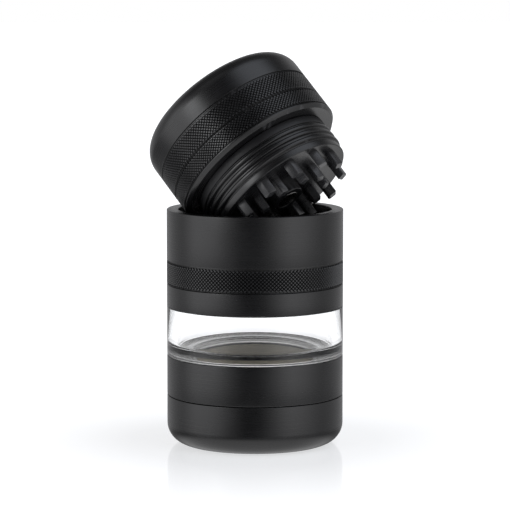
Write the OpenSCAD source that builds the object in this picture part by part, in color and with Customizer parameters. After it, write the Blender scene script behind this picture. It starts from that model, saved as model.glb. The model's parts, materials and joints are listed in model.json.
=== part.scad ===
// Four-stage hand grinder for herbs and spices with a glass jar section.
// The body stands on its flat base at z = 0 with its axis on +Z.
// The lid leans in the open mouth of the grinding chamber.

/* [Body] */
// Outer radius of every turned piece
body_r = 31.5; // [28:0.1:36]
// Height of the catch tray
tray_h = 17.6; // [15:0.1:22]
// Height of the sieve collar's outer wall
sieve_collar_h = 14.1; // [12:0.05:18]
// Height of the visible glass wall
glass_h = 17.6; // [15:0.05:30]
// Height of the jar's top collar
top_collar_h = 8; // [7:0.1:10]
// Height of the grinding chamber's outer wall
chamber_h = 26.55; // [25:0.05:32]
// Gap at each screwed seam
seam = 0.2; // [0.15:0.05:0.3]

/* [Threaded joints] */
// Radius of the plain core of each male spigot
spigot_r = 27.9; // [27.5:0.05:28]
// Radius of each female bore
socket_r = 28.9; // [28.7:0.05:29.1]
// Length of the spigots below their shoulder
spigot_len = 6.3; // [5.5:0.1:6.5]
// Section radius of the O-rings
oring_r = 0.75; // [0.6:0.05:0.8]

/* [Catch tray and sieve] */
// Radius of the flat the object stands on
base_flat_r = 24; // [22:0.1:25]
// Thickness of the tray's floor
tray_floor = 2.6; // [2:0.1:4]
// Radius of the open screen
screen_r = 20.95; // [18:0.05:21]
// Thickness of the woven screen
mesh_t = 0.25; // [0.15:0.05:0.3]

/* [Glass jar] */
// Inner radius of the glass wall
glass_in_r = 28; // [27:0.1:28.5]
// Radius of the fillet between wall and inner floor
glass_fillet = 3.5; // [2:0.1:4]
// Thickness of the glass floor
glass_floor = 1.8; // [1.5:0.1:5]
// Radius of the opening in the glass floor
glass_throat_r = 22.2; // [21:0.1:24]

/* [Grinding chamber] */
// Radius of the chamber's bore
bore_r = 27.4; // [27.3:0.05:27.8]
// Depth of the bore from rim to floor
bore_depth = 21.4; // [21:0.1:23]
// Thickness of the chamber's floor
chamber_floor = 3.2; // [2.5:0.1:4]
// Height of the knurled bands
knurl_h = 8.3; // [6:0.1:9]
// Height of the fixed teeth
chamber_tooth_h = 4.2; // [3:0.1:4.4]

/* [Lid] */
// Height of the rotor's knurled flange
flange_h = 8.15; // [7:0.05:10]
// Length of the ribbed neck
neck_len = 13.5; // [12:0.1:14]
// Radius over the neck's ribs
rib_r = 26.85; // [26.5:0.05:27]
// Spacing of the neck's ribs
rib_pitch = 2.6; // [2.4:0.1:2.8]
// Height of the cap's outer wall
cap_h = 21.2; // [18:0.1:30]
// Corner radius of the cap's top
cap_corner = 7; // [4:0.1:9]
// Height of the rotor's teeth
rotor_tooth_h = 5.5; // [4:0.1:5.5]

/* [Leaning pose of the lid] */
// Tilt of the lid's axis away from the body's axis
lid_tilt = 44.8; // [44.5:0.1:45]
// Compass direction of the lean, counted from +X
lid_azimuth = 142.7; // [0:0.1:360]
// Lip centre's offset from the body's axis along the lean
lip_offset = -3.09; // [-3.2:0.01:-3]
// Height of the lip centre over the rim
lip_rise = 15.58; // [15.5:0.01:15.8]

/* [Hidden] */
$fn = 96;

// Heights of the stack, from the base up
collar_z = tray_h + seam;
glass_z = collar_z + sieve_collar_h;
top_collar_z = glass_z + glass_h;
collar_top_z = top_collar_z + top_collar_h;
chamber_z = collar_top_z + seam;
rim_z = chamber_z + chamber_h;
chamber_floor_z = rim_z - bore_depth;
floor_under_z = chamber_floor_z - chamber_floor;

edge = 0.3;              // chamfer on turned edges
groove_w = 0.5;          // decorative grooves beside the knurled bands
groove_d = 0.4;
spigot_in_r = 25.2;      // clear bore inside every spigot
spigot_gap = 0.6;        // free height under a spigot in its socket
oring_drop = 1.2;        // O-ring centre below its shoulder
oring_core_r = spigot_r + 0.1;
oring_gap = 0.1;
gasket_t = 0.55;
frame_t = 0.6;           // flat ring under the screen
ring_clearance = 0.1;    // round the loose rings in their seats
sieve_z = glass_z - gasket_t - mesh_t - frame_t + 0.05;
screen_seat_r = 23.1;    // pocket for the screen and its rings
seat_in_r = 21.2;        // collar's bore under the screen
gasket_out_r = 29.4;
jar_lip_r = 27.2;        // top collar's lip over the glass
jar_lip_t = 1.2;
top_gasket_in_r = glass_in_r + 0.4;
top_gasket_out_r = body_r - 1.3;

post_r = 4.6;            // centre post with the chamber's magnet
post_h = 4;
ball_r = 2;
ball_z = rim_z - 21;
ball_bore_r = ball_r + 0.1;
ball_bore_top = ball_z + ball_r + 0.2;
hole_r = 1.9;            // drop holes in the chamber's floor

tooth_rows_fixed = [[18.1, 1.4, 2.3, 12], [10.1, 1.8, 2.1, 8]];
tooth_rows_moving = [[21.9, 1.9, 2.6, 12, 22.6], [14.3, 1.9, 2.4, 10, 14]];
hole_rows = [[22.9, 12], [14.3, 10]];

neck_r = 26.2;           // between the ribs
plate_r = 26.15;
ring_seat_r = 25.9;      // seat of the glide ring
glide_in_r = ring_seat_r + 0.05;
glide_out_r = neck_r + 0.35;
ring_top = -0.1;
ring_bottom = -3.2;
rib_low = -9.7;          // lowest rib's height under the lip
lip_r = 30.4;
lip_bevel = 1.2;
store_r = 23.6;          // store inside the neck
plate_t = 3.6;
cap_z = flange_h + 0.25;
cap_band_top = 16.75;    // groove over the cap's knurled band
magnet_r = 4;
magnet_h = 3.4;
magnet_pocket = 4.4;
magnet_boss_r = 6.2;
magnet_boss_h = 2.9;
cap_wall = 3.2;
cap_socket_h = spigot_len + 0.4;
cap_dome_r = 27;         // store under the cap's top
cap_dome_corner = 4.5;
cap_ring_z = cap_z + 2;
cap_ring_r = socket_r - 0.05;

anodised = [0.07, 0.07, 0.075];

// A ring of rectangular section
module ring(r_in, r_out, z0, z1)
    translate([0, 0, z0])
        difference() {
            cylinder(r = r_out, h = z1 - z0);
            translate([0, 0, -1]) cylinder(r = r_in, h = z1 - z0 + 2);
        }

// A rubber ring of round section
module oring(r_mid, z)
    color([0.05, 0.05, 0.05])
        translate([0, 0, z])
            rotate_extrude() translate([r_mid, 0]) circle(r = oring_r);

// Diamond-shaped cutting teeth in a circle, row = [r, half depth, half width, count]
module tooth_row(row, height, phase)
    for (i = [0 : row[3] - 1])
        rotate([0, 0, phase + i * 360 / row[3]])
            translate([row[0], 0, 0])
                linear_extrude(height)
                    polygon([[row[1], 0], [0, row[2]], [-row[1], 0], [0, -row[2]]]);

module catch_tray() {
    corner_r = body_r - base_flat_r;
    bowl_r = spigot_in_r;
    bowl_corner = 6;
    ledge_z = collar_z - spigot_len - spigot_gap;
    color(anodised) rotate_extrude()
        difference() {
            union() {
                square([base_flat_r, tray_h]);
                translate([base_flat_r, corner_r]) intersection() {
                    circle(r = corner_r);
                    translate([0, -corner_r]) square(corner_r);
                }
                polygon([
                    [0, corner_r], [body_r, corner_r], [body_r, tray_h - edge],
                    [body_r - edge, tray_h], [0, tray_h]
                ]);
            }
            difference() {
                union() {
                    translate([0, tray_floor + bowl_corner]) square([bowl_r, tray_h]);
                    translate([0, tray_floor]) square([bowl_r - bowl_corner, tray_h]);
                    translate([bowl_r - bowl_corner, tray_floor + bowl_corner])
                        circle(r = bowl_corner);
                }
                translate([-10, 0]) square([10, tray_h]);
            }
            translate([0, ledge_z]) square([socket_r, tray_h]);
        }
}

module collar_oring() oring(oring_core_r, collar_z - oring_drop);

// Male spigot below a shoulder, with the groove for its O-ring
module spigot_section(shoulder_z)
    difference() {
        translate([spigot_in_r, shoulder_z - spigot_len])
            square([spigot_r - spigot_in_r, spigot_len]);
        translate([oring_core_r - oring_r - oring_gap, shoulder_z - oring_drop - oring_r - oring_gap])
            square([2, 2 * (oring_r + oring_gap)]);
    }

module sieve_collar() {
    flare = spigot_in_r - seat_in_r;
    color(anodised) rotate_extrude() {
        difference() {
            polygon([
                [spigot_in_r, collar_z], [body_r - edge, collar_z], [body_r, collar_z + edge],
                [body_r, glass_z - edge], [body_r - edge, glass_z], [seat_in_r, glass_z],
                [seat_in_r, sieve_z - 1], [spigot_in_r, sieve_z - 1 - flare]
            ]);
            translate([seat_in_r - 1, sieve_z]) square([screen_seat_r - seat_in_r + 1, 9]);
            translate([screen_seat_r - 1, glass_z - gasket_t])
                square([gasket_out_r - screen_seat_r + 1, 9]);
        }
        spigot_section(collar_z);
    }
}

module sieve_frame()
    color([0.2, 0.2, 0.2])
        ring(screen_r + 0.6, screen_seat_r - ring_clearance, sieve_z, sieve_z + frame_t);

module sieve_mesh()
    color([0.62, 0.56, 0.42])
        translate([0, 0, sieve_z + frame_t])
            cylinder(r = screen_seat_r - ring_clearance, h = mesh_t);

module sieve_retaining_ring()
    color([0.1, 0.1, 0.1])
        ring(screen_r, screen_seat_r - ring_clearance, sieve_z + frame_t + mesh_t, glass_z);

module jar_bottom_gasket()
    color([0.15, 0.15, 0.15])
        ring(screen_seat_r, gasket_out_r - ring_clearance, glass_z - gasket_t, glass_z);

module glass_jar() {
    foot_chamfer = 0.5;
    fillet_z = glass_floor + glass_fillet;
    color([0.85, 0.92, 0.92, 0.35]) translate([0, 0, glass_z]) rotate_extrude()
        difference() {
            polygon([
                [glass_throat_r, 0], [body_r - foot_chamfer, 0], [body_r, foot_chamfer],
                [body_r, glass_h], [glass_in_r - glass_fillet, glass_h],
                [glass_in_r - glass_fillet, glass_floor], [glass_throat_r, glass_floor]
            ]);
            translate([glass_in_r - glass_fillet, fillet_z]) circle(r = glass_fillet);
            translate([0, fillet_z]) square([glass_in_r, glass_h]);
        }
}

module jar_top_gasket()
    color([0.15, 0.15, 0.15])
        ring(top_gasket_in_r, top_gasket_out_r, top_collar_z, top_collar_z + gasket_t);

module jar_top_collar() {
    recess_in_r = top_gasket_in_r - ring_clearance;
    recess_out_r = top_gasket_out_r + ring_clearance;
    color(anodised) rotate_extrude()
        difference() {
            polygon([
                [jar_lip_r, top_collar_z], [body_r - edge, top_collar_z],
                [body_r, top_collar_z + edge], [body_r, collar_top_z - edge],
                [body_r - edge, collar_top_z], [socket_r, collar_top_z],
                [socket_r, top_collar_z + jar_lip_t], [jar_lip_r, top_collar_z + jar_lip_t]
            ]);
            translate([recess_in_r, top_collar_z - 1])
                square([recess_out_r - recess_in_r, 1 + gasket_t]);
        }
}

module chamber_oring() oring(oring_core_r, chamber_z - oring_drop);

// Wall of the chamber; the floor and the teeth are machined in one with it
module grinding_chamber() {
    groove_z = chamber_z + knurl_h;
    color(anodised) rotate_extrude() {
        difference() {
            polygon([
                [spigot_in_r, chamber_z], [body_r - edge, chamber_z], [body_r, chamber_z + edge],
                [body_r, rim_z - edge], [body_r - edge, rim_z], [bore_r + edge, rim_z],
                [bore_r, rim_z - edge], [bore_r, chamber_floor_z], [spigot_in_r, chamber_floor_z]
            ]);
            translate([body_r - groove_d, groove_z - groove_w / 2]) square([2, groove_w]);
        }
        spigot_section(chamber_z);
    }
}

// Floor inside the wall, with drop holes for the ground herbs
module chamber_floor()
    color(anodised) translate([0, 0, floor_under_z]) difference() {
        cylinder(r = spigot_in_r, h = chamber_floor);
        for (row = hole_rows)
            for (i = [0 : row[1] - 1])
                rotate([0, 0, (i + 0.5) * 360 / row[1]])
                    translate([row[0], 0, -1]) cylinder(r = hole_r, h = chamber_floor + 2);
        translate([0, 0, -1]) cylinder(r = ball_bore_r, h = chamber_floor + 2);
    }

// Fixed teeth and the centre post that holds the magnet
module chamber_teeth()
    color(anodised) translate([0, 0, chamber_floor_z]) {
        for (row = tooth_rows_fixed) tooth_row(row, chamber_tooth_h, 0);
        difference() {
            cylinder(r = post_r, h = post_h);
            translate([0, 0, -1]) cylinder(r = ball_bore_r, h = ball_bore_top - chamber_floor_z + 1);
        }
    }

module chamber_magnet()
    color([0.7, 0.7, 0.72]) translate([0, 0, ball_z]) sphere(r = ball_r);

module chamber_magnet_plug()
    color([0.3, 0.3, 0.3]) translate([0, 0, floor_under_z])
        cylinder(r = ball_bore_r, h = ball_z - ball_bore_r - floor_under_z);

// Places a piece of the lid, drawn with the lip's underside at z = 0 and the cap above it
module leaning()
    translate([0, 0, rim_z]) rotate([0, 0, lid_azimuth])
        translate([lip_offset, 0, lip_rise]) rotate([0, lid_tilt, 0]) children();

module rotor_glide_ring()
    color([0.1, 0.1, 0.1]) leaning()
        ring(glide_in_r, glide_out_r, ring_bottom + ring_clearance, ring_top - ring_clearance);

// Half section of the ribbed neck
module neck_section() {
    polygon([
        [0, -neck_len], [plate_r - edge, -neck_len], [plate_r, -neck_len + edge],
        [plate_r, rib_low - rib_pitch / 2], [neck_r, rib_low - rib_pitch / 2],
        [neck_r, ring_bottom], [ring_seat_r, ring_bottom], [ring_seat_r, 0.1], [0, 0.1]
    ]);
    for (i = [0 : 2]) {
        rib_z = rib_low + i * rib_pitch;
        polygon([
            [neck_r - 1, rib_z - 1.1], [neck_r, rib_z - 1.1], [rib_r, rib_z - 0.35],
            [rib_r, rib_z + 0.35], [neck_r, rib_z + 1.1], [neck_r - 1, rib_z + 1.1]
        ]);
    }
}

module rotor() {
    floor_top = -neck_len + plate_t;
    spigot_top = flange_h + spigot_len;
    color(anodised) leaning() {
        difference() {
            union() {
                rotate_extrude() {
                    neck_section();
                    difference() {
                        polygon([
                            [0, 0], [lip_r, 0], [body_r, lip_bevel], [body_r, flange_h - edge],
                            [body_r - edge, flange_h], [0, flange_h]
                        ]);
                        translate([body_r - groove_d, lip_bevel + 0.3]) square([2, groove_w]);
                    }
                    translate([0, flange_h - 1]) square([spigot_r, spigot_len + 1]);
                }
                translate([0, 0, -neck_len - magnet_boss_h])
                    cylinder(r = magnet_boss_r, h = magnet_boss_h + 1);
            }
            translate([0, 0, floor_top]) cylinder(r = store_r, h = spigot_top - floor_top + 1);
            translate([0, 0, 1]) cylinder(r = spigot_in_r, h = spigot_top);
            translate([0, 0, -neck_len - magnet_boss_h - 1])
                cylinder(r = magnet_r, h = magnet_pocket);
        }
    }
}

// Teeth under the rotor's plate, machined in one with it
module rotor_teeth()
    color(anodised) leaning()
        translate([0, 0, -neck_len - rotor_tooth_h])
            for (row = tooth_rows_moving) tooth_row(row, rotor_tooth_h, row[4]);

module rotor_magnet()
    color([0.7, 0.7, 0.72]) leaning()
        translate([0, 0, -neck_len - magnet_boss_h]) cylinder(r = magnet_r, h = magnet_h);

module cap_oring()
    leaning() oring(cap_ring_r, cap_ring_z);

module cap() {
    top_z = cap_z + cap_h;
    store_top = top_z - cap_wall;
    inner_r = cap_dome_r - cap_dome_corner;
    color(anodised) leaning() rotate_extrude()
        difference() {
            union() {
                polygon([
                    [0, cap_z], [body_r - edge, cap_z], [body_r, cap_z + edge],
                    [body_r, top_z - cap_corner], [0, top_z - cap_corner]
                ]);
                translate([0, cap_z]) square([body_r - cap_corner, cap_h]);
                translate([body_r - cap_corner, top_z - cap_corner]) intersection() {
                    circle(r = cap_corner);
                    square(cap_corner);
                }
            }
            translate([body_r - groove_d, cap_band_top - groove_w / 2]) square([2, groove_w]);
            translate([0, cap_z - 1]) square([socket_r, cap_socket_h + 1]);
            translate([0, cap_z - 1]) square([cap_dome_r, store_top - cap_dome_corner - cap_z + 1]);
            translate([0, cap_z - 1]) square([inner_r, store_top - cap_z + 1]);
            translate([inner_r, store_top - cap_dome_corner]) intersection() {
                circle(r = cap_dome_corner);
                square(cap_dome_corner);
            }
            translate([0, cap_ring_z - oring_r - oring_gap])
                square([cap_ring_r + oring_r + oring_gap, 2 * (oring_r + oring_gap)]);
        }
}

catch_tray();
collar_oring();
sieve_collar();
sieve_frame();
sieve_mesh();
sieve_retaining_ring();
jar_bottom_gasket();
glass_jar();
jar_top_gasket();
jar_top_collar();
chamber_oring();
grinding_chamber();
chamber_floor();
chamber_teeth();
chamber_magnet();
chamber_magnet_plug();
rotor_glide_ring();
rotor();
rotor_teeth();
rotor_magnet();
cap_oring();
cap();
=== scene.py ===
"""Looks of the herb grinder: turned black aluminium, a glass jar and a toothed lid leaning in the mouth.

Outlines are in mm, and new_object turns them into metres. Seam heights and outer radii come from the frame.
"""
import json
import math

import bpy
from mathutils import Matrix, Vector


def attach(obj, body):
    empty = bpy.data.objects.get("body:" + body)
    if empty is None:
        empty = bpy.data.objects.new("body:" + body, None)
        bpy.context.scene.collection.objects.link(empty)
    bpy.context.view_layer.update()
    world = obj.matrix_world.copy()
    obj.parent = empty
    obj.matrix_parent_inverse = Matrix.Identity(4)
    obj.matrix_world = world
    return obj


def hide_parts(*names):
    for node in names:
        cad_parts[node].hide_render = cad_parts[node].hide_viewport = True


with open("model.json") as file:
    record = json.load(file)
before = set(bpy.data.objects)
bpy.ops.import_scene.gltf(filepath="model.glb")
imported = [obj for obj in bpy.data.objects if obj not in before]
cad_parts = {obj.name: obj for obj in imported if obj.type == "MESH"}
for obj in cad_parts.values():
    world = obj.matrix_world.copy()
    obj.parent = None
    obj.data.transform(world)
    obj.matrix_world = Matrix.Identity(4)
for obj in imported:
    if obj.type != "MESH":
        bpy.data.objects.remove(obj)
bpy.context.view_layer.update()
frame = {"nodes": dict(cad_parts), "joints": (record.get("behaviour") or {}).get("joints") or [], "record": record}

MM = 0.001
TAU = 2 * math.pi
NODES = frame["nodes"]
JOINTS = {joint["name"]: joint for joint in frame["joints"]}


# ---------------------------------------------------------------- places, from the frame
def lid_matrix():
    """The lid's own frame: the lip's underside at z = 0, the lid's axis along +z, x down the lean."""
    spin = JOINTS["lid_spin"]
    up = Vector(spin["axis"]).normalized()
    lean = Vector((up.x, up.y, 0)).normalized()
    x = (lean - lean.dot(up) * up).normalized()
    y = up.cross(x)
    turn = Matrix((x, y, up)).transposed().to_4x4()
    return Matrix.Translation(Vector(spin["pos_m"])) @ turn


LID = lid_matrix()


def span(node, place=Matrix.Identity(4)):
    """Lowest and highest z of a CAD node in mm, in the frame given by place."""
    back = place.inverted()
    heights = [(back @ v.co).z for v in NODES[node].data.vertices]
    return min(heights) / MM, max(heights) / MM


def outer_radius(node, place=Matrix.Identity(4)):
    """Largest distance of a CAD node from the z axis in mm, in the frame given by place."""
    back = place.inverted()
    return max((back @ v.co).xy.length for v in NODES[node].data.vertices) / MM


BODY_R = outer_radius("catch_tray")
TRAY_TOP = span("catch_tray")[1]
COLLAR_FOOT, GLASS_FOOT = span("sieve_collar")
GLASS_TOP = span("glass_jar")[1]
JAR_RIM = span("jar_top_collar")[1]
CHAMBER_FOOT, RIM = span("grinding_chamber")
MESH_LOW, MESH_HIGH = span("sieve_mesh")
CAP_FOOT, CAP_TOP = span("cap", LID)
TOOTH_TIP = span("rotor_teeth", LID)[0]
SPIGOT_TOP = span("rotor", LID)[1]

# Fineness: segments round a large and a small piece, and the angle in degrees above which an edge is sharp
ROUND = 256
SMALL_ROUND = 96
SHARP = 38

# Walls and edges that the turned parts share
SEAM = 0.2
EDGE = 0.3
BAND_EDGE = 0.05
SPIGOT_R = 27.9
SOCKET_R = 28.9
BORE_IN_R = 25.2
SPIGOT_LEN = 6.3
GROOVE_W = 0.5
GROOVE_D = 0.45

# O-ring's seat: radius, distance under the shoulder and half width
ORING_SEAT = 27.15
ORING_DROP = 1.2
ORING_HALF = 0.85

# Threads: the ridge's widths are shares of the pitch, and it sinks THREAD_ROOT into its wall
THREAD_PITCH = 2.0
THREAD_DEPTH = 0.72
THREAD_ROOT = 0.3
THREAD_FOOT = 0.62
THREAD_CREST = 0.2
THREAD_STEPS = 72
THREAD_FADE = 8
THREAD_START = 0.9
MALE_REST = 2.6
FEMALE_REST = 2.2

# Knurled bands: KNURL_FLAT is half the diagonal of a pyramid's top, as a share of the half pitch
KNURL_DEPTH = 0.36
KNURLS_ROUND = 144
KNURL_STEP = 1.25
KNURL_FLAT = 0.55
KNURL_CORE = 0.6
BAND_DEPTH = 0.5


# ---------------------------------------------------------------- mesh helpers
def new_object(name, verts, faces, place=Matrix.Identity(4), sharp=SHARP):
    """Smooth object from verts in mm, with edges sharper than an angle in degrees kept sharp."""
    mesh = bpy.data.meshes.new(name)
    mesh.from_pydata([tuple(c * MM for c in v) for v in verts], [], faces)
    mesh.validate()
    mesh.shade_smooth()
    mesh.set_sharp_from_angle(angle=math.radians(sharp))
    obj = bpy.data.objects.new(name, mesh)
    bpy.context.scene.collection.objects.link(obj)
    obj.matrix_world = place
    return obj


def merge(*parts):
    """Joins (verts, faces) parts into one."""
    verts, faces = [], []
    for part_verts, part_faces in parts:
        base = len(verts)
        verts += list(part_verts)
        faces += [tuple(i + base for i in face) for face in part_faces]
    return verts, faces


def rounded(points, steps=4):
    """Outline with its corners rounded: a point is (r, z) or (r, z, corner radius)."""
    out = []
    count = len(points)
    for i, point in enumerate(points):
        here = Vector(point[:2])
        radius = point[2] if len(point) > 2 else 0
        if radius == 0:
            out.append(tuple(here))
            continue
        before = (Vector(points[i - 1][:2]) - here).normalized()
        after = (Vector(points[(i + 1) % count][:2]) - here).normalized()
        half = before.angle(after) / 2
        reach = radius / math.tan(half)
        centre = here + (before + after).normalized() * (radius / math.sin(half))
        start = here + before * reach - centre
        end = here + after * reach - centre
        sweep = start.angle_signed(end)
        for k in range(steps + 1):
            turn = -sweep * k / steps
            c, s = math.cos(turn), math.sin(turn)
            x = centre.x + start.x * c - start.y * s
            y = centre.y + start.x * s + start.y * c
            out.append((x, y))
    return out


def lathe(outline, around=ROUND):
    """Surface of revolution about z of a closed outline, or of one that starts and ends on the axis."""
    open_ends = outline[0][0] < 1e-6 and outline[-1][0] < 1e-6
    verts, rows = [], []
    for r, z in outline:
        if r < 1e-6:
            rows.append([len(verts)] * around)
            verts.append((0, 0, z))
            continue
        rows.append(list(range(len(verts), len(verts) + around)))
        turns = [TAU * i / around for i in range(around)]
        verts += [(r * math.cos(turn), r * math.sin(turn), z) for turn in turns]
    pairs = list(zip(rows, rows[1:]))
    if not open_ends:
        pairs.append((rows[-1], rows[0]))
    area = sum(a[0] * b[1] - b[0] * a[1] for a, b in zip(outline, outline[1:] + outline[:1]))
    faces = []
    for low, high in pairs:
        for i in range(around):
            j = (i + 1) % around
            face = [low[i], low[j], high[j], high[i]]
            face = [v for k, v in enumerate(face) if v not in face[:k]]
            if len(face) > 2:
                faces.append(tuple(face if area > 0 else face[::-1]))
    return verts, faces


def knurl(z0, z1):
    """Closed sleeve whose outside is a field of flat-topped diamond pyramids."""
    columns = 2 * KNURLS_ROUND
    rows = 2 * round((z1 - z0) / KNURL_STEP)
    valley = BODY_R - KNURL_DEPTH
    core = BODY_R - KNURL_CORE
    verts, faces, grid = [], [], {}

    def put(u, v, r):
        """New vertex at column u, row v and radius r; returns its number."""
        turn = TAU * u / columns
        verts.append((r * math.cos(turn), r * math.sin(turn), z0 + (z1 - z0) * v / rows))
        return len(verts) - 1

    for v in range(rows + 1):
        for u in range(columns):
            if (u + v) % 2 or v in (0, rows):
                grid[u, v] = put(u, v, valley)
    for v in range(1, rows):
        for u in range(columns):
            if (u + v) % 2:
                continue
            corners = [(1, 0), (0, 1), (-1, 0), (0, -1)]
            ring = [grid[(u + a) % columns, v + b] for a, b in corners]
            top = [put(u + a * KNURL_FLAT, v + b * KNURL_FLAT, BODY_R) for a, b in corners]
            faces += [(ring[k], ring[(k + 1) % 4], top[(k + 1) % 4], top[k]) for k in range(4)]
            faces.append(tuple(top))
    low = [put(u, 0, core) for u in range(columns)]
    high = [put(u, rows, core) for u in range(columns)]
    for u in range(columns):
        w = (u + 1) % columns
        faces.append((grid[w, 0], grid[u, 0], low[u], low[w]))
        faces.append((grid[u, rows], grid[w, rows], high[w], high[u]))
        faces.append((low[w], low[u], high[u], high[w]))
        if u % 2:
            faces.append((grid[(u - 1) % columns, 0], grid[u, 0], grid[w, 0]))
        if (u + rows) % 2:
            faces.append((grid[w, rows], grid[u, rows], grid[(u - 1) % columns, rows]))
    return verts, faces


def thread(root_r, z0, z1, start=0.0, inward=False):
    """Right-hand helical ridge between two heights, faded in and out at its ends."""
    turns = (z1 - z0) / THREAD_PITCH
    steps = int(turns * THREAD_STEPS)
    sign = -1 if inward else 1
    verts, faces = [], []
    for i in range(steps + 1):
        turn = TAU * turns * i / steps
        fade = min(1, THREAD_FADE * min(i, steps - i) / steps + 0.02)
        height = THREAD_DEPTH * fade
        z = z0 + THREAD_PITCH * turn / TAU
        c, s = math.cos(turn + start), math.sin(turn + start)
        wide = 0.5 * THREAD_PITCH * THREAD_FOOT * fade
        narrow = 0.5 * THREAD_PITCH * THREAD_CREST * fade
        ridge = [(0, -wide), (height, -narrow), (height, narrow), (0, wide)]
        section = [(-THREAD_ROOT, -wide), *ridge, (-THREAD_ROOT, wide)]
        for r, dz in section:
            verts.append(((root_r + sign * r) * c, (root_r + sign * r) * s, z + dz))
    for i in range(steps):
        a, b = 6 * i, 6 * (i + 1)
        for k in range(6):
            m = (k + 1) % 6
            face = (a + k, a + m, b + m, b + k)
            faces.append(face[::-1] if not inward else face)
    ends = [tuple(range(6)), tuple(range(6 * steps + 5, 6 * steps - 1, -1))]
    faces += ends if not inward else [end[::-1] for end in ends]
    return verts, faces


def male_thread(foot, shoulder):
    """Ridge round a spigot that reaches down from its shoulder."""
    return thread(SPIGOT_R, foot + THREAD_START, shoulder - MALE_REST)


def female_thread(ledge, rim):
    """Ridge in a socket that opens upward, half a turn from the male one."""
    return thread(SOCKET_R, ledge + THREAD_START, rim - FEMALE_REST, math.pi, inward=True)


def prism(outline, z0, z1, chamfer, x, turn):
    """Upright prism on a convex outline, chamfered at z1, moved out along x and then turned about z."""
    toward = 1 if z1 > z0 else -1
    reach = max(math.hypot(*p) for p in outline)
    rings = [(z0, 1.0), (z1 - toward * chamfer, 1.0), (z1, 1 - chamfer / reach)]
    c, s = math.cos(turn), math.sin(turn)
    verts, faces = [], []
    for z, scale in rings:
        for px, py in outline:
            qx, qy = px * scale + x, py * scale
            verts.append((qx * c - qy * s, qx * s + qy * c, z))
    n = len(outline)
    for level in range(2):
        for k in range(n):
            m = (k + 1) % n
            a, b = level * n, (level + 1) * n
            faces.append((a + k, a + m, b + m, b + k))
    faces.append(tuple(range(n))[::-1])
    faces.append(tuple(range(2 * n, 3 * n)))
    if toward < 0:
        faces = [face[::-1] for face in faces]
    return verts, faces


def diamond(depth, width, nick=0.35):
    """Diamond with its corners cut; depth is half its size along x and width half its size along y."""
    points = [(depth, 0), (0, width), (-depth, 0), (0, -width)]
    out = []
    for i, point in enumerate(points):
        here, before, after = Vector(point), Vector(points[i - 1]), Vector(points[(i + 1) % 4])
        out.append(tuple(here + (before - here).normalized() * nick))
        out.append(tuple(here + (after - here).normalized() * nick))
    return out


def holed_disc(radius, holes, z0, z1, bevel=0.15):
    """Round plate with bevelled round holes, each given as (x, y, radius)."""
    rim_points = 160
    hole_points = 32
    curve = bpy.data.curves.new("plate_outline", "CURVE")
    curve.dimensions = "2D"
    curve.fill_mode = "BOTH"
    curve.extrude = (z1 - z0) / 2 - bevel
    curve.bevel_depth = bevel
    curve.bevel_resolution = 1
    curve.offset = -bevel
    for x, y, r, count in [(0, 0, radius, rim_points)] + [(*hole, hole_points) for hole in holes]:
        spline = curve.splines.new("POLY")
        spline.points.add(count - 1)
        spline.use_cyclic_u = True
        for i, point in enumerate(spline.points):
            turn = TAU * i / count
            point.co = (x + r * math.cos(turn), y + r * math.sin(turn), 0, 1)
    obj = bpy.data.objects.new("plate_outline", curve)
    bpy.context.scene.collection.objects.link(obj)
    mesh = bpy.data.meshes.new_from_object(obj.evaluated_get(bpy.context.evaluated_depsgraph_get()))
    middle = (z0 + z1) / 2
    verts = [(v.co.x, v.co.y, v.co.z + middle) for v in mesh.vertices]
    faces = [tuple(face.vertices) for face in mesh.polygons]
    bpy.data.objects.remove(obj)
    bpy.data.curves.remove(curve)
    bpy.data.meshes.remove(mesh)
    return verts, faces


# ---------------------------------------------------------------- materials
def material(name):
    """New material, its node tree and its shader."""
    mat = bpy.data.materials.new(name)
    mat.use_nodes = True
    tree = mat.node_tree
    return mat, tree, tree.nodes["Principled BSDF"]


def noise(tree, scale, detail, vector=None):
    """Noise in cells per mm, in object space unless a vector is given."""
    node = tree.nodes.new("ShaderNodeTexNoise")
    node.inputs["Scale"].default_value = scale / MM
    node.inputs["Detail"].default_value = detail
    if vector is None:
        vector = tree.nodes.new("ShaderNodeTexCoord").outputs["Object"]
    tree.links.new(vector, node.inputs["Vector"])
    return node.outputs["Fac"]


def calculate(tree, operation, *values):
    """Result of a math node on numbers and sockets."""
    node = tree.nodes.new("ShaderNodeMath")
    node.operation = operation
    for socket, value in zip(node.inputs, values):
        if isinstance(value, (int, float)):
            socket.default_value = value
        else:
            tree.links.new(value, socket)
    return node.outputs[0]


def turned_coordinates(tree):
    """A vector that only changes across turning marks: along z on walls and along r on flats."""
    separate = tree.nodes.new("ShaderNodeSeparateXYZ")
    tree.links.new(tree.nodes.new("ShaderNodeTexCoord").outputs["Object"], separate.inputs["Vector"])
    x, y, z = (separate.outputs[axis] for axis in "XYZ")
    total = calculate(tree, "ADD", calculate(tree, "MULTIPLY", x, x), calculate(tree, "MULTIPLY", y, y))
    combine = tree.nodes.new("ShaderNodeCombineXYZ")
    tree.links.new(z, combine.inputs["X"])
    tree.links.new(calculate(tree, "SQRT", total), combine.inputs["Y"])
    return combine.outputs["Vector"]


def spread(tree, value, low, high, start=0.3, end=0.7):
    """Maps a value from start..end onto low..high and holds it there."""
    node = tree.nodes.new("ShaderNodeMapRange")
    node.inputs["From Min"].default_value = start
    node.inputs["From Max"].default_value = end
    node.inputs["To Min"].default_value = low
    node.inputs["To Max"].default_value = high
    tree.links.new(value, node.inputs["Value"])
    return node.outputs["Result"]


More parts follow.
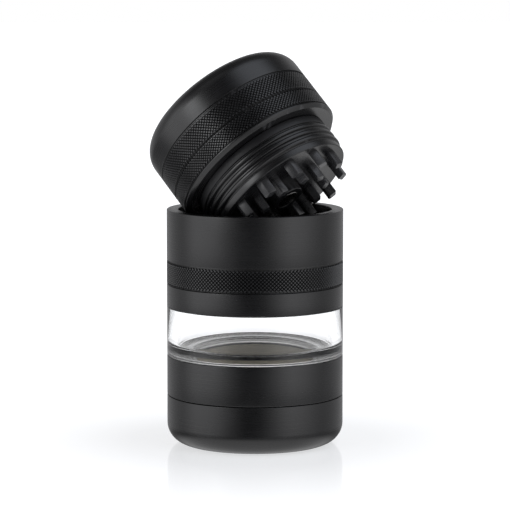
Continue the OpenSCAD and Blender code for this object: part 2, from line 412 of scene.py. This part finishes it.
def mix_colour(tree, factor, low, high):
    """Mixes two colours, each given as numbers or as a socket."""
    node = tree.nodes.new("ShaderNodeMix")
    node.data_type = "RGBA"
    for socket, colour in ((node.inputs["A"], low), (node.inputs["B"], high)):
        if isinstance(colour, tuple):
            socket.default_value = (*colour, 1)
        else:
            tree.links.new(colour, socket)
    tree.links.new(factor, node.inputs["Factor"])
    return node.outputs["Result"]


def bump(tree, shader, height, distance_mm, strength):
    """Drives the shader's normal from a height of 0..1."""
    node = tree.nodes.new("ShaderNodeBump")
    node.inputs["Distance"].default_value = distance_mm * MM
    node.inputs["Strength"].default_value = strength
    tree.links.new(height, node.inputs["Height"])
    tree.links.new(node.outputs["Normal"], shader.inputs["Normal"])


def add(tree, a, b, weight=1.0):
    """a plus b times weight."""
    return calculate(tree, "MULTIPLY_ADD", b, weight, a)


def anodised_aluminium():
    """Satin black anodising over turned aluminium: fine turning marks, grain, and convex edges lightened in colour
    as a painted highlight.
    """
    darkest = (0.0045, 0.0045, 0.005)
    lightest = (0.0085, 0.0085, 0.0092)
    painted_highlight_black = (0.035, 0.035, 0.037)
    mat, tree, shader = material("black_anodised")
    turned = noise(tree, 3.2, 2.0, turned_coordinates(tree))
    grain = noise(tree, 4.0, 3.0)
    cloud = noise(tree, 0.06, 3.0)
    # Convex edges, found by pointiness, get a lighter black: a painted edge highlight
    edge = tree.nodes.new("ShaderNodeNewGeometry").outputs["Pointiness"]
    painted_highlight_mask = spread(tree, edge, 0, 1, 0.53, 0.62)
    body = mix_colour(tree, spread(tree, cloud, 0, 1), darkest, lightest)
    tree.links.new(mix_colour(tree, painted_highlight_mask, body, painted_highlight_black), shader.inputs["Base Color"])
    rough = add(tree, spread(tree, cloud, 0.24, 0.30), spread(tree, turned, -0.03, 0.03))
    tree.links.new(rough, shader.inputs["Roughness"])
    shader.inputs["IOR"].default_value = 1.6
    bump(tree, shader, add(tree, turned, grain, 0.6), 0.006, 0.5)
    return mat


def simple_grain(name, low, high, roughness, metallic=0.0):
    """Opaque material with broad clouds in its colour and a fine grain in roughness and height."""
    mat, tree, shader = material(name)
    fine = noise(tree, 2.0, 4.0)
    broad = noise(tree, 0.05, 2.0)
    tree.links.new(mix_colour(tree, spread(tree, broad, 0, 1), low, high), shader.inputs["Base Color"])
    tree.links.new(spread(tree, fine, roughness - 0.06, roughness + 0.06), shader.inputs["Roughness"])
    shader.inputs["Metallic"].default_value = metallic
    bump(tree, shader, fine, 0.01, 0.6)
    return mat


def clear_glass():
    """Clear glass with the faintest waviness of a moulded and polished ring."""
    mat, tree, shader = material("clear_glass")
    shader.inputs["Base Color"].default_value = (1, 1, 1, 1)
    shader.inputs["Transmission Weight"].default_value = 1
    shader.inputs["IOR"].default_value = 1.5
    shader.inputs["Roughness"].default_value = 0
    bump(tree, shader, noise(tree, 0.12, 1.0), 0.02, 0.15)
    return mat


MATERIALS = {
    "anodised": anodised_aluminium(),
    "dark_metal": simple_grain("dark_metal", (0.012, 0.012, 0.012), (0.03, 0.03, 0.03), 0.4, 0.6),
    "glass": clear_glass(),
    "screen": simple_grain("woven_steel", (0.50, 0.46, 0.36), (0.66, 0.60, 0.48), 0.38, 0.55),
    "rubber": simple_grain("black_rubber", (0.006, 0.006, 0.006), (0.012, 0.012, 0.012), 0.62),
    "polymer": simple_grain("black_polymer", (0.008, 0.008, 0.009), (0.014, 0.014, 0.015), 0.45),
    "magnet": simple_grain("nickel_plate", (0.55, 0.54, 0.52), (0.66, 0.65, 0.63), 0.22, 1.0),
}
SLOT_OF = {part["node"]: part["material_slot"] for part in frame["record"]["subparts"]}
BODIES = frame["record"]["behaviour"]["bodies"]
BODY_OF = {node: body for body, members in BODIES.items() for node in members}


def stand_for(node, part, place=Matrix.Identity(4), sharp=SHARP, also=()):
    """A finished piece in place of a CAD node, and of others machined in one with it, in its material."""
    piece = new_object(node + "_visual", *part, place=place, sharp=sharp)
    piece.data.materials.append(MATERIALS[SLOT_OF[node]])
    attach(piece, BODY_OF[node])
    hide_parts(node, *also)


# ---------------------------------------------------------------- shared outlines
def spigot(shoulder, foot):
    """Outline points down a male spigot from its shoulder, outside first, with the O-ring's seat."""
    seat = shoulder - ORING_DROP
    return [
        (SPIGOT_R, shoulder), (SPIGOT_R, seat + ORING_HALF, 0.1), (ORING_SEAT, seat + ORING_HALF, 0.2),
        (ORING_SEAT, seat - ORING_HALF, 0.2), (SPIGOT_R, seat - ORING_HALF, 0.1),
        (SPIGOT_R, foot, 0.5), (BORE_IN_R, foot, 0.4)
    ]


def band_recess(z0, z1):
    """Outline points up the outside wall across a recess that a knurled sleeve fills."""
    inner = BODY_R - BAND_DEPTH
    brink = BODY_R - 0.02
    return [(brink, z0, 0.06), (inner, z0), (inner, z1), (brink, z1, 0.06)]


# ---------------------------------------------------------------- base, sieve and jar
def catch_tray():
    base_flat = 24.0
    inside_floor = 2.6
    end_gap = 0.6
    ledge = TRAY_TOP + SEAM - SPIGOT_LEN - end_gap
    outline = rounded([
        (0, 0), (base_flat - 1, 0), (BODY_R, 0, BODY_R - base_flat), (BODY_R, TRAY_TOP, EDGE),
        (SOCKET_R, TRAY_TOP, EDGE), (SOCKET_R, ledge, 0.2), (BORE_IN_R, ledge, 0.3),
        (BORE_IN_R, inside_floor, 6.0), (0, inside_floor)
    ], 12)
    stand_for("catch_tray", merge(lathe(outline), female_thread(ledge, TRAY_TOP)))


def sieve_collar():
    shoulder = TRAY_TOP + SEAM
    seat_r = 23.1
    shelf_r = 21.2
    gasket_r = 29.4
    gasket_floor = GLASS_FOOT - 0.55
    shelf = span("sieve_frame")[0]
    shelf_under = shelf - 1
    cone_foot = shelf - 5
    outline = rounded([
        (SPIGOT_R, shoulder), (BODY_R, shoulder, EDGE), (BODY_R, GLASS_FOOT, EDGE), (gasket_r, GLASS_FOOT),
        (gasket_r, gasket_floor), (seat_r, gasket_floor), (seat_r, shelf), (shelf_r, shelf, 0.2),
        (shelf_r, shelf_under, 0.5), (BORE_IN_R, cone_foot, 1.0)
    ] + spigot(shoulder, COLLAR_FOOT)[::-1][:-1])
    stand_for("sieve_collar", merge(lathe(outline), male_thread(COLLAR_FOOT, shoulder)))


def woven_screen():
    """Plain-woven wire: every wire weaves over and under its neighbours."""
    radius = outer_radius("sieve_mesh") - 0.05
    pitch = 0.6
    wires_thick = 2.3
    wire = (MESH_HIGH - MESH_LOW) / wires_thick / 2
    middle = (MESH_LOW + MESH_HIGH) / 2
    lift = wire * 0.9
    count = int(radius / pitch)
    parts = []
    for along_x in (True, False):
        for i in range(-count, count + 1):
            offset = (i + 0.5) * pitch
            if abs(offset) > radius - pitch:
                continue
            half = math.sqrt(radius * radius - offset * offset)
            steps = int(half / pitch)
            verts, faces = [], []
            for k in range(-2 * steps, 2 * steps + 1):
                t = k * pitch / 2
                wave = math.cos(math.pi * (k - 1) / 2) * (1 if (i % 2 == 0) == along_x else -1)
                for dy, dz in ((wire, 0), (0, wire), (-wire, 0), (0, -wire)):
                    p = (t, offset + dy) if along_x else (offset - dy, t)
                    verts.append((*p, middle + lift * wave + dz))
            for k in range(4 * steps):
                for m in range(4):
                    n = (m + 1) % 4
                    faces.append((4 * k + m, 4 * k + n, 4 * k + 4 + n, 4 * k + 4 + m))
            faces.append((0, 3, 2, 1))
            faces.append(tuple(len(verts) - 4 + m for m in range(4)))
            parts.append((verts, faces))
    stand_for("sieve_mesh", merge(*parts), sharp=180)


def glass_jar():
    inner = 28.0
    throat = 22.2
    fillet = 3.5
    floor_z = GLASS_FOOT + 1.8
    outline = rounded([
        (throat, GLASS_FOOT, 0.2), (BODY_R, GLASS_FOOT, 0.5), (BODY_R, GLASS_TOP, 0.2),
        (inner, GLASS_TOP, 0.2), (inner, floor_z, fillet), (throat, floor_z, 0.6)
    ], 10)
    stand_for("glass_jar", lathe(outline, 360), sharp=60)


def jar_top_collar():
    lip_r = 27.2
    gasket_in, gasket_out = 28.3, 30.3
    lip = GLASS_TOP + 1.2
    recess = GLASS_TOP + 0.55
    outline = rounded([
        (lip_r, GLASS_TOP, 0.2), (gasket_in, GLASS_TOP), (gasket_in, recess), (gasket_out, recess),
        (gasket_out, GLASS_TOP), (BODY_R, GLASS_TOP, EDGE), (BODY_R, JAR_RIM, EDGE),
        (SOCKET_R, JAR_RIM, EDGE), (SOCKET_R, lip, 0.2), (lip_r, lip, 0.2)
    ])
    stand_for("jar_top_collar", merge(lathe(outline), female_thread(lip, JAR_RIM)))


def oring(node, place=Matrix.Identity(4)):
    """Round ring of the CAD node's own section and radius."""
    low, high = span(node, place)
    section = (high - low) / 2
    middle = outer_radius(node, place) - section
    centre = (low + high) / 2
    sides = 20
    turns = [TAU * k / sides for k in range(sides)]
    outline = [(middle + section * math.cos(t), centre + section * math.sin(t)) for t in turns]
    stand_for(node, lathe(outline, 192), place, sharp=180)


# ---------------------------------------------------------------- grinding chamber
BORE_R = 27.4
CHAMBER_FLOOR = RIM - 21.4
FLOOR_T = 3.2
LEDGE_R = BORE_IN_R - 3
# Rows of teeth: row radius, half depth, half width, count
FIXED_TEETH = [(18.1, 1.4, 2.3, 12), (10.1, 1.8, 2.1, 8)]
FIXED_TOOTH_H = 4.2
TOOTH_SINK = 0.5
TOOTH_CHAMFER = 0.3
# Rows of drop holes: row radius, count
HOLE_ROWS = [(22.9, 12), (14.3, 10)]
HOLE_R = 1.9
POST_R = 4.6
POST_H = 4.0


def grinding_chamber():
    shoulder = JAR_RIM + SEAM
    under = CHAMBER_FLOOR - FLOOR_T
    band_low = shoulder + 0.15
    band_high = shoulder + 8.05
    groove = shoulder + 8.1
    outline = rounded([
        (SPIGOT_R, shoulder), (BODY_R, shoulder, BAND_EDGE)
    ] + band_recess(band_low, band_high) + [
        (BODY_R, groove, BAND_EDGE), (BODY_R - GROOVE_D, groove), (BODY_R - GROOVE_D, groove + GROOVE_W),
        (BODY_R, groove + GROOVE_W, 0.1), (BODY_R, RIM, EDGE), (BORE_R, RIM, EDGE),
        (BORE_R, CHAMBER_FLOOR, 0.8), (LEDGE_R, CHAMBER_FLOOR), (LEDGE_R, under), (BORE_IN_R, under, 0.6)
    ] + spigot(shoulder, CHAMBER_FOOT)[::-1][:-1])
    holes = []
    for r, count in HOLE_ROWS:
        for i in range(count):
            turn = TAU * (i + 0.5) / count
            holes.append((r * math.cos(turn), r * math.sin(turn), HOLE_R))
    parts = [lathe(outline), knurl(band_low, band_high), male_thread(CHAMBER_FOOT, shoulder)]
    parts.append(holed_disc(BORE_R + 0.6, holes, under, CHAMBER_FLOOR))
    root = CHAMBER_FLOOR - TOOTH_SINK
    tip = CHAMBER_FLOOR + FIXED_TOOTH_H
    for r, depth, width, count in FIXED_TEETH:
        for i in range(count):
            parts.append(prism(diamond(depth, width), root, tip, TOOTH_CHAMFER, r, TAU * i / count))
    post_top = CHAMBER_FLOOR + POST_H
    post = rounded([(0, root), (POST_R, root), (POST_R, post_top, 0.4), (0, post_top)])
    parts.append(lathe(post, SMALL_ROUND))
    stand_for("grinding_chamber", merge(*parts), also=("chamber_floor", "chamber_teeth"))


# ---------------------------------------------------------------- lid, in its own frame
NECK_R = 26.2
PLATE_R = 26.15
VALLEY_R = NECK_R - 0.25
RIB_R = 26.85
RIB_LOW = -9.7
RIB_PITCH = 2.6
RIB_HALF_FOOT = 0.95
RIB_HALF_CREST = 0.45
RIBS = 3
RING_SEAT_LOW = -3.2
RING_SEAT_R = 25.9
LIP_R = 30.4
LIP_GROOVE = 1.45
LID_BAND_LOW = 2.05
FLANGE_TOP = CAP_FOOT - 0.25
TOOTH_PLANE = -13.5
# Rows of teeth: row radius, half depth, half width, count, first tooth's angle in degrees
MOVING_TEETH = [(21.9, 1.9, 2.6, 12, 22.6), (14.3, 1.9, 2.4, 10, 14.0)]
BOSS_R = 6.2
BOSS_H = 2.9
BOSS_SINK = 0.4
MAGNET_R = 4.0
MAGNET_GAP = 0.06
STORE_R = 23.6
STORE_FLOOR = TOOTH_PLANE + 3.6


def rotor():
    band_high = FLANGE_TOP - 0.12
    outline = [
        (0, TOOTH_PLANE), (PLATE_R, TOOTH_PLANE, 0.3), (PLATE_R, RIB_LOW - 1.5, 0.2),
        (NECK_R - 0.4, RIB_LOW - 1.3, 0.2)
    ]
    for i in range(RIBS):
        middle = RIB_LOW + i * RIB_PITCH
        outline += [
            (VALLEY_R, middle - RIB_HALF_FOOT, 0.35), (RIB_R, middle - RIB_HALF_CREST, 0.4),
            (RIB_R, middle + RIB_HALF_CREST, 0.4), (VALLEY_R, middle + RIB_HALF_FOOT, 0.35)
        ]
    outline += [
        (NECK_R, RING_SEAT_LOW, 0.05), (RING_SEAT_R, RING_SEAT_LOW), (RING_SEAT_R, 0, 0.1),
        (LIP_R, 0, 0.15), (BODY_R, 1.1, 0.2), (BODY_R, LIP_GROOVE, 0.08), (BODY_R - GROOVE_D, LIP_GROOVE),
        (BODY_R - GROOVE_D, LIP_GROOVE + GROOVE_W), (BODY_R, LIP_GROOVE + GROOVE_W, BAND_EDGE)
    ]
    outline += band_recess(LID_BAND_LOW, band_high)
    outline += [
        (BODY_R, FLANGE_TOP, BAND_EDGE), (SPIGOT_R, FLANGE_TOP), (SPIGOT_R, SPIGOT_TOP, 0.5),
        (BORE_IN_R, SPIGOT_TOP, 0.4), (BORE_IN_R, 1, 0.6), (STORE_R, 1, 0.6), (STORE_R, STORE_FLOOR, 2.0),
        (0, STORE_FLOOR)
    ]
    parts = [lathe(rounded(outline)), knurl(LID_BAND_LOW, band_high)]
    thread_low = FLANGE_TOP + 2.9
    parts.append(thread(SPIGOT_R, thread_low, SPIGOT_TOP - THREAD_START))
    root = TOOTH_PLANE + BOSS_SINK
    for r, depth, width, count, first in MOVING_TEETH:
        for i in range(count):
            turn = math.radians(first) + TAU * i / count
            parts.append(prism(diamond(depth, width), root, TOOTH_TIP, TOOTH_CHAMFER, r, turn))
    boss_low = TOOTH_PLANE - BOSS_H
    bore_r = MAGNET_R + MAGNET_GAP
    boss = rounded([(bore_r, root), (bore_r, boss_low, 0.15), (BOSS_R, boss_low, 0.4), (BOSS_R, root)])
    parts.append(lathe(boss, SMALL_ROUND))
    stand_for("rotor", merge(*parts), LID, also=("rotor_teeth",))


def rotor_magnet():
    low, high = span("rotor_magnet", LID)
    outline = rounded([(0, low), (MAGNET_R, low, 0.3), (MAGNET_R, high, 0.3), (0, high)])
    stand_for("rotor_magnet", lathe(outline, SMALL_ROUND), LID)


def glide_ring():
    low, high = span("rotor_glide_ring", LID)
    inner = RING_SEAT_R + 0.05
    outer = outer_radius("rotor_glide_ring", LID)
    outline = rounded([(inner, low, 0.1), (outer, low, 0.25), (outer, high, 0.25), (inner, high, 0.1)])
    stand_for("rotor_glide_ring", lathe(outline), LID)


def cap():
    corner = 7.0
    band_low = CAP_FOOT + 0.12
    band_high = 16.5
    groove_top = band_high + GROOVE_W
    outline = rounded([
        (SOCKET_R, CAP_FOOT, EDGE), (BODY_R, CAP_FOOT, BAND_EDGE)
    ] + band_recess(band_low, band_high) + [
        (BODY_R - GROOVE_D, band_high + 0.02), (BODY_R - GROOVE_D, groove_top), (BODY_R, groove_top, 0.12),
        (BODY_R, CAP_TOP, corner), (0, CAP_TOP)
    ], 12)
    store_top = CAP_TOP - 3.2
    store_r = 27
    socket_top = CAP_FOOT + 6.7
    ring_low = CAP_FOOT + 1.15
    ring_high = CAP_FOOT + 2.85
    ring_r = 29.7
    inside = rounded([
        (0, store_top), (store_r, store_top, 4.5), (store_r, socket_top, 0.3), (SOCKET_R, socket_top, 0.2),
        (SOCKET_R, ring_high), (ring_r, ring_high, 0.1), (ring_r, ring_low, 0.1), (SOCKET_R, ring_low)
    ], 8)
    thread_low = CAP_FOOT + 3.4
    thread_high = CAP_FOOT + 6.0
    female = thread(SOCKET_R, thread_low, thread_high, math.pi, inward=True)
    stand_for("cap", merge(lathe(outline + inside), female, knurl(band_low, band_high)), LID)


catch_tray()
oring("collar_oring")
sieve_collar()
woven_screen()
glass_jar()
jar_top_collar()
oring("chamber_oring")
grinding_chamber()
glide_ring()
rotor()
rotor_magnet()
oring("cap_oring", LID)
cap()

# The plain hidden nodes are shown as they are, in their own materials
for node in ("sieve_frame", "sieve_retaining_ring", "jar_bottom_gasket", "jar_top_gasket",
             "chamber_magnet", "chamber_magnet_plug"):
    NODES[node].data.materials.clear()
    NODES[node].data.materials.append(MATERIALS[SLOT_OF[node]])


# ---------------------------------------------------------------- stage, light and camera
def floor():
    """Pale floor that glows, dimmer near the base as a painted shadow, with a soft reflection that fades away from
    the base.
    """
    size = 4000
    z = -0.02
    near, far = 45 * MM, 135 * MM
    verts = [(-size, -size, z), (size, -size, z), (size, size, z), (-size, size, z)]
    plane = new_object("floor", verts, [(0, 1, 2, 3)])
    mat, tree, shader = material("pale_floor")
    shader.inputs["Base Color"].default_value = (0.8, 0.8, 0.81, 1)
    shader.inputs["Emission Color"].default_value = (0.98, 0.99, 1, 1)
    reach = tree.nodes.new("ShaderNodeVectorMath")
    reach.operation = "LENGTH"
    tree.links.new(tree.nodes.new("ShaderNodeTexCoord").outputs["Object"], reach.inputs[0])
    polish = spread(tree, reach.outputs["Value"], 0.5, 0.02, near, far)
    tree.links.new(polish, shader.inputs["Specular IOR Level"])
    # Emission is weaker near the base: a painted shadow on the floor round the grinder
    glow_with_painted_shadow = spread(tree, reach.outputs["Value"], 0.61, 0.9, near, far)
    tree.links.new(glow_with_painted_shadow, shader.inputs["Emission Strength"])
    tree.links.new(spread(tree, noise(tree, 0.02, 2.0), 0.05, 0.08), shader.inputs["Roughness"])
    plane.data.materials.append(mat)
    plane.visible_glossy = False


def soft_patch(tree, direction, toward, inner, outer):
    """1 within the inner angle of a direction, fading to 0 at the outer angle, in degrees."""
    dot = tree.nodes.new("ShaderNodeVectorMath")
    dot.operation = "DOT_PRODUCT"
    dot.inputs[1].default_value = Vector(toward).normalized()
    tree.links.new(direction, dot.inputs[0])
    edge, core = math.cos(math.radians(outer)), math.cos(math.radians(inner))
    return spread(tree, dot.outputs["Value"], 0, 1, edge, core)


# Brightness all round: (degrees from the camera's side, positive to the right, and brightness)
PANELS = [
    (-180, 0.45), (-107, 0.4), (-95, 0.8), (-84, 1.2), (-64, 1.2), (-55, 1.1), (-47, 0.9), (-38, 0.6),
    (-30, 0.38), (-22, 0.2), (-14, 0.02), (0, 0.02), (9, 0.1), (17, 0.3), (25, 0.55), (33, 0.85),
    (41, 1.1), (50, 1.25), (58, 1.1), (67, 1.0), (77, 0.75), (87, 0.55), (99, 0.38), (180, 0.45)
]
OVERHEAD = (0.02, 0.02, 0.02)
UNDER_LAMPS = (0.05, 0.05, 0.05)
TABLE = (0.85, 0.85, 0.86)
WHITE = (1.0, 1.0, 1.0)
# Soft lamps: direction, inner and outer angle in degrees, colour
LAMPS = [
    ((-0.73, -0.60, 0.33), 5, 15, (3.0, 3.05, 3.1)),
    ((0.45, -0.14, 0.88), 12, 32, (1.0, 1.05, 1.15))
]


def studio_world():
    """Soft panels left and right and a dim side toward the camera; white where it is seen directly."""
    world = bpy.data.worlds.new("studio")
    world.use_nodes = True
    tree = world.node_tree
    background = tree.nodes["Background"]
    direction = tree.nodes.new("ShaderNodeTexCoord").outputs["Generated"]
    separate = tree.nodes.new("ShaderNodeSeparateXYZ")
    tree.links.new(direction, separate.inputs["Vector"])
    frontward = calculate(tree, "MULTIPLY", separate.outputs["Y"], -1)
    azimuth = calculate(tree, "ARCTAN2", separate.outputs["X"], frontward)
    ramp = tree.nodes.new("ShaderNodeValToRGB")
    stops = ramp.color_ramp.elements
    for degrees, _ in PANELS[1:-1]:
        stops.new(0.5 + degrees / 360)
    for stop, (_, level) in zip(stops, PANELS):
        stop.color = (level, level, level * 1.02, 1)
    tree.links.new(spread(tree, azimuth, 0, 1, -math.pi, math.pi), ramp.inputs["Fac"])
    height = separate.outputs["Z"]
    lit = mix_colour(tree, spread(tree, height, 1, 0.2, 0.35, 0.65), OVERHEAD, ramp.outputs["Color"])
    lit = mix_colour(tree, spread(tree, height, 0, 0.75, -0.2, -0.34), lit, UNDER_LAMPS)
    lit = mix_colour(tree, spread(tree, height, 0, 1, -0.42, -0.6), lit, TABLE)
    for toward, inner, outer, colour in LAMPS:
        lit = mix_colour(tree, soft_patch(tree, direction, toward, inner, outer), lit, colour)
    rays = tree.nodes.new("ShaderNodeLightPath")
    seen = calculate(tree, "MAXIMUM", rays.outputs["Is Camera Ray"], rays.outputs["Is Transmission Ray"])
    tree.links.new(mix_colour(tree, seen, lit, WHITE), background.inputs["Color"])
    bpy.context.scene.world = world
    bpy.context.scene.view_settings.view_transform = "Standard"


def camera():
    """Long lens at a low angle, aimed at the grinding chamber."""
    below_rim = 16.73
    middle = Vector((0, 0, (RIM - below_rim) * MM))
    distance = 1.0
    elevation = math.radians(6.89)
    data = bpy.data.cameras.new("camera")
    data.sensor_width = 36
    data.lens = 197.5
    data.clip_end = 50
    obj = bpy.data.objects.new("camera", data)
    bpy.context.scene.collection.objects.link(obj)
    obj.location = middle + distance * Vector((0, -math.cos(elevation), math.sin(elevation)))
    obj.rotation_euler = (middle - obj.location).to_track_quat("-Z", "Y").to_euler()
    bpy.context.scene.camera = obj


floor()
studio_world()
camera()
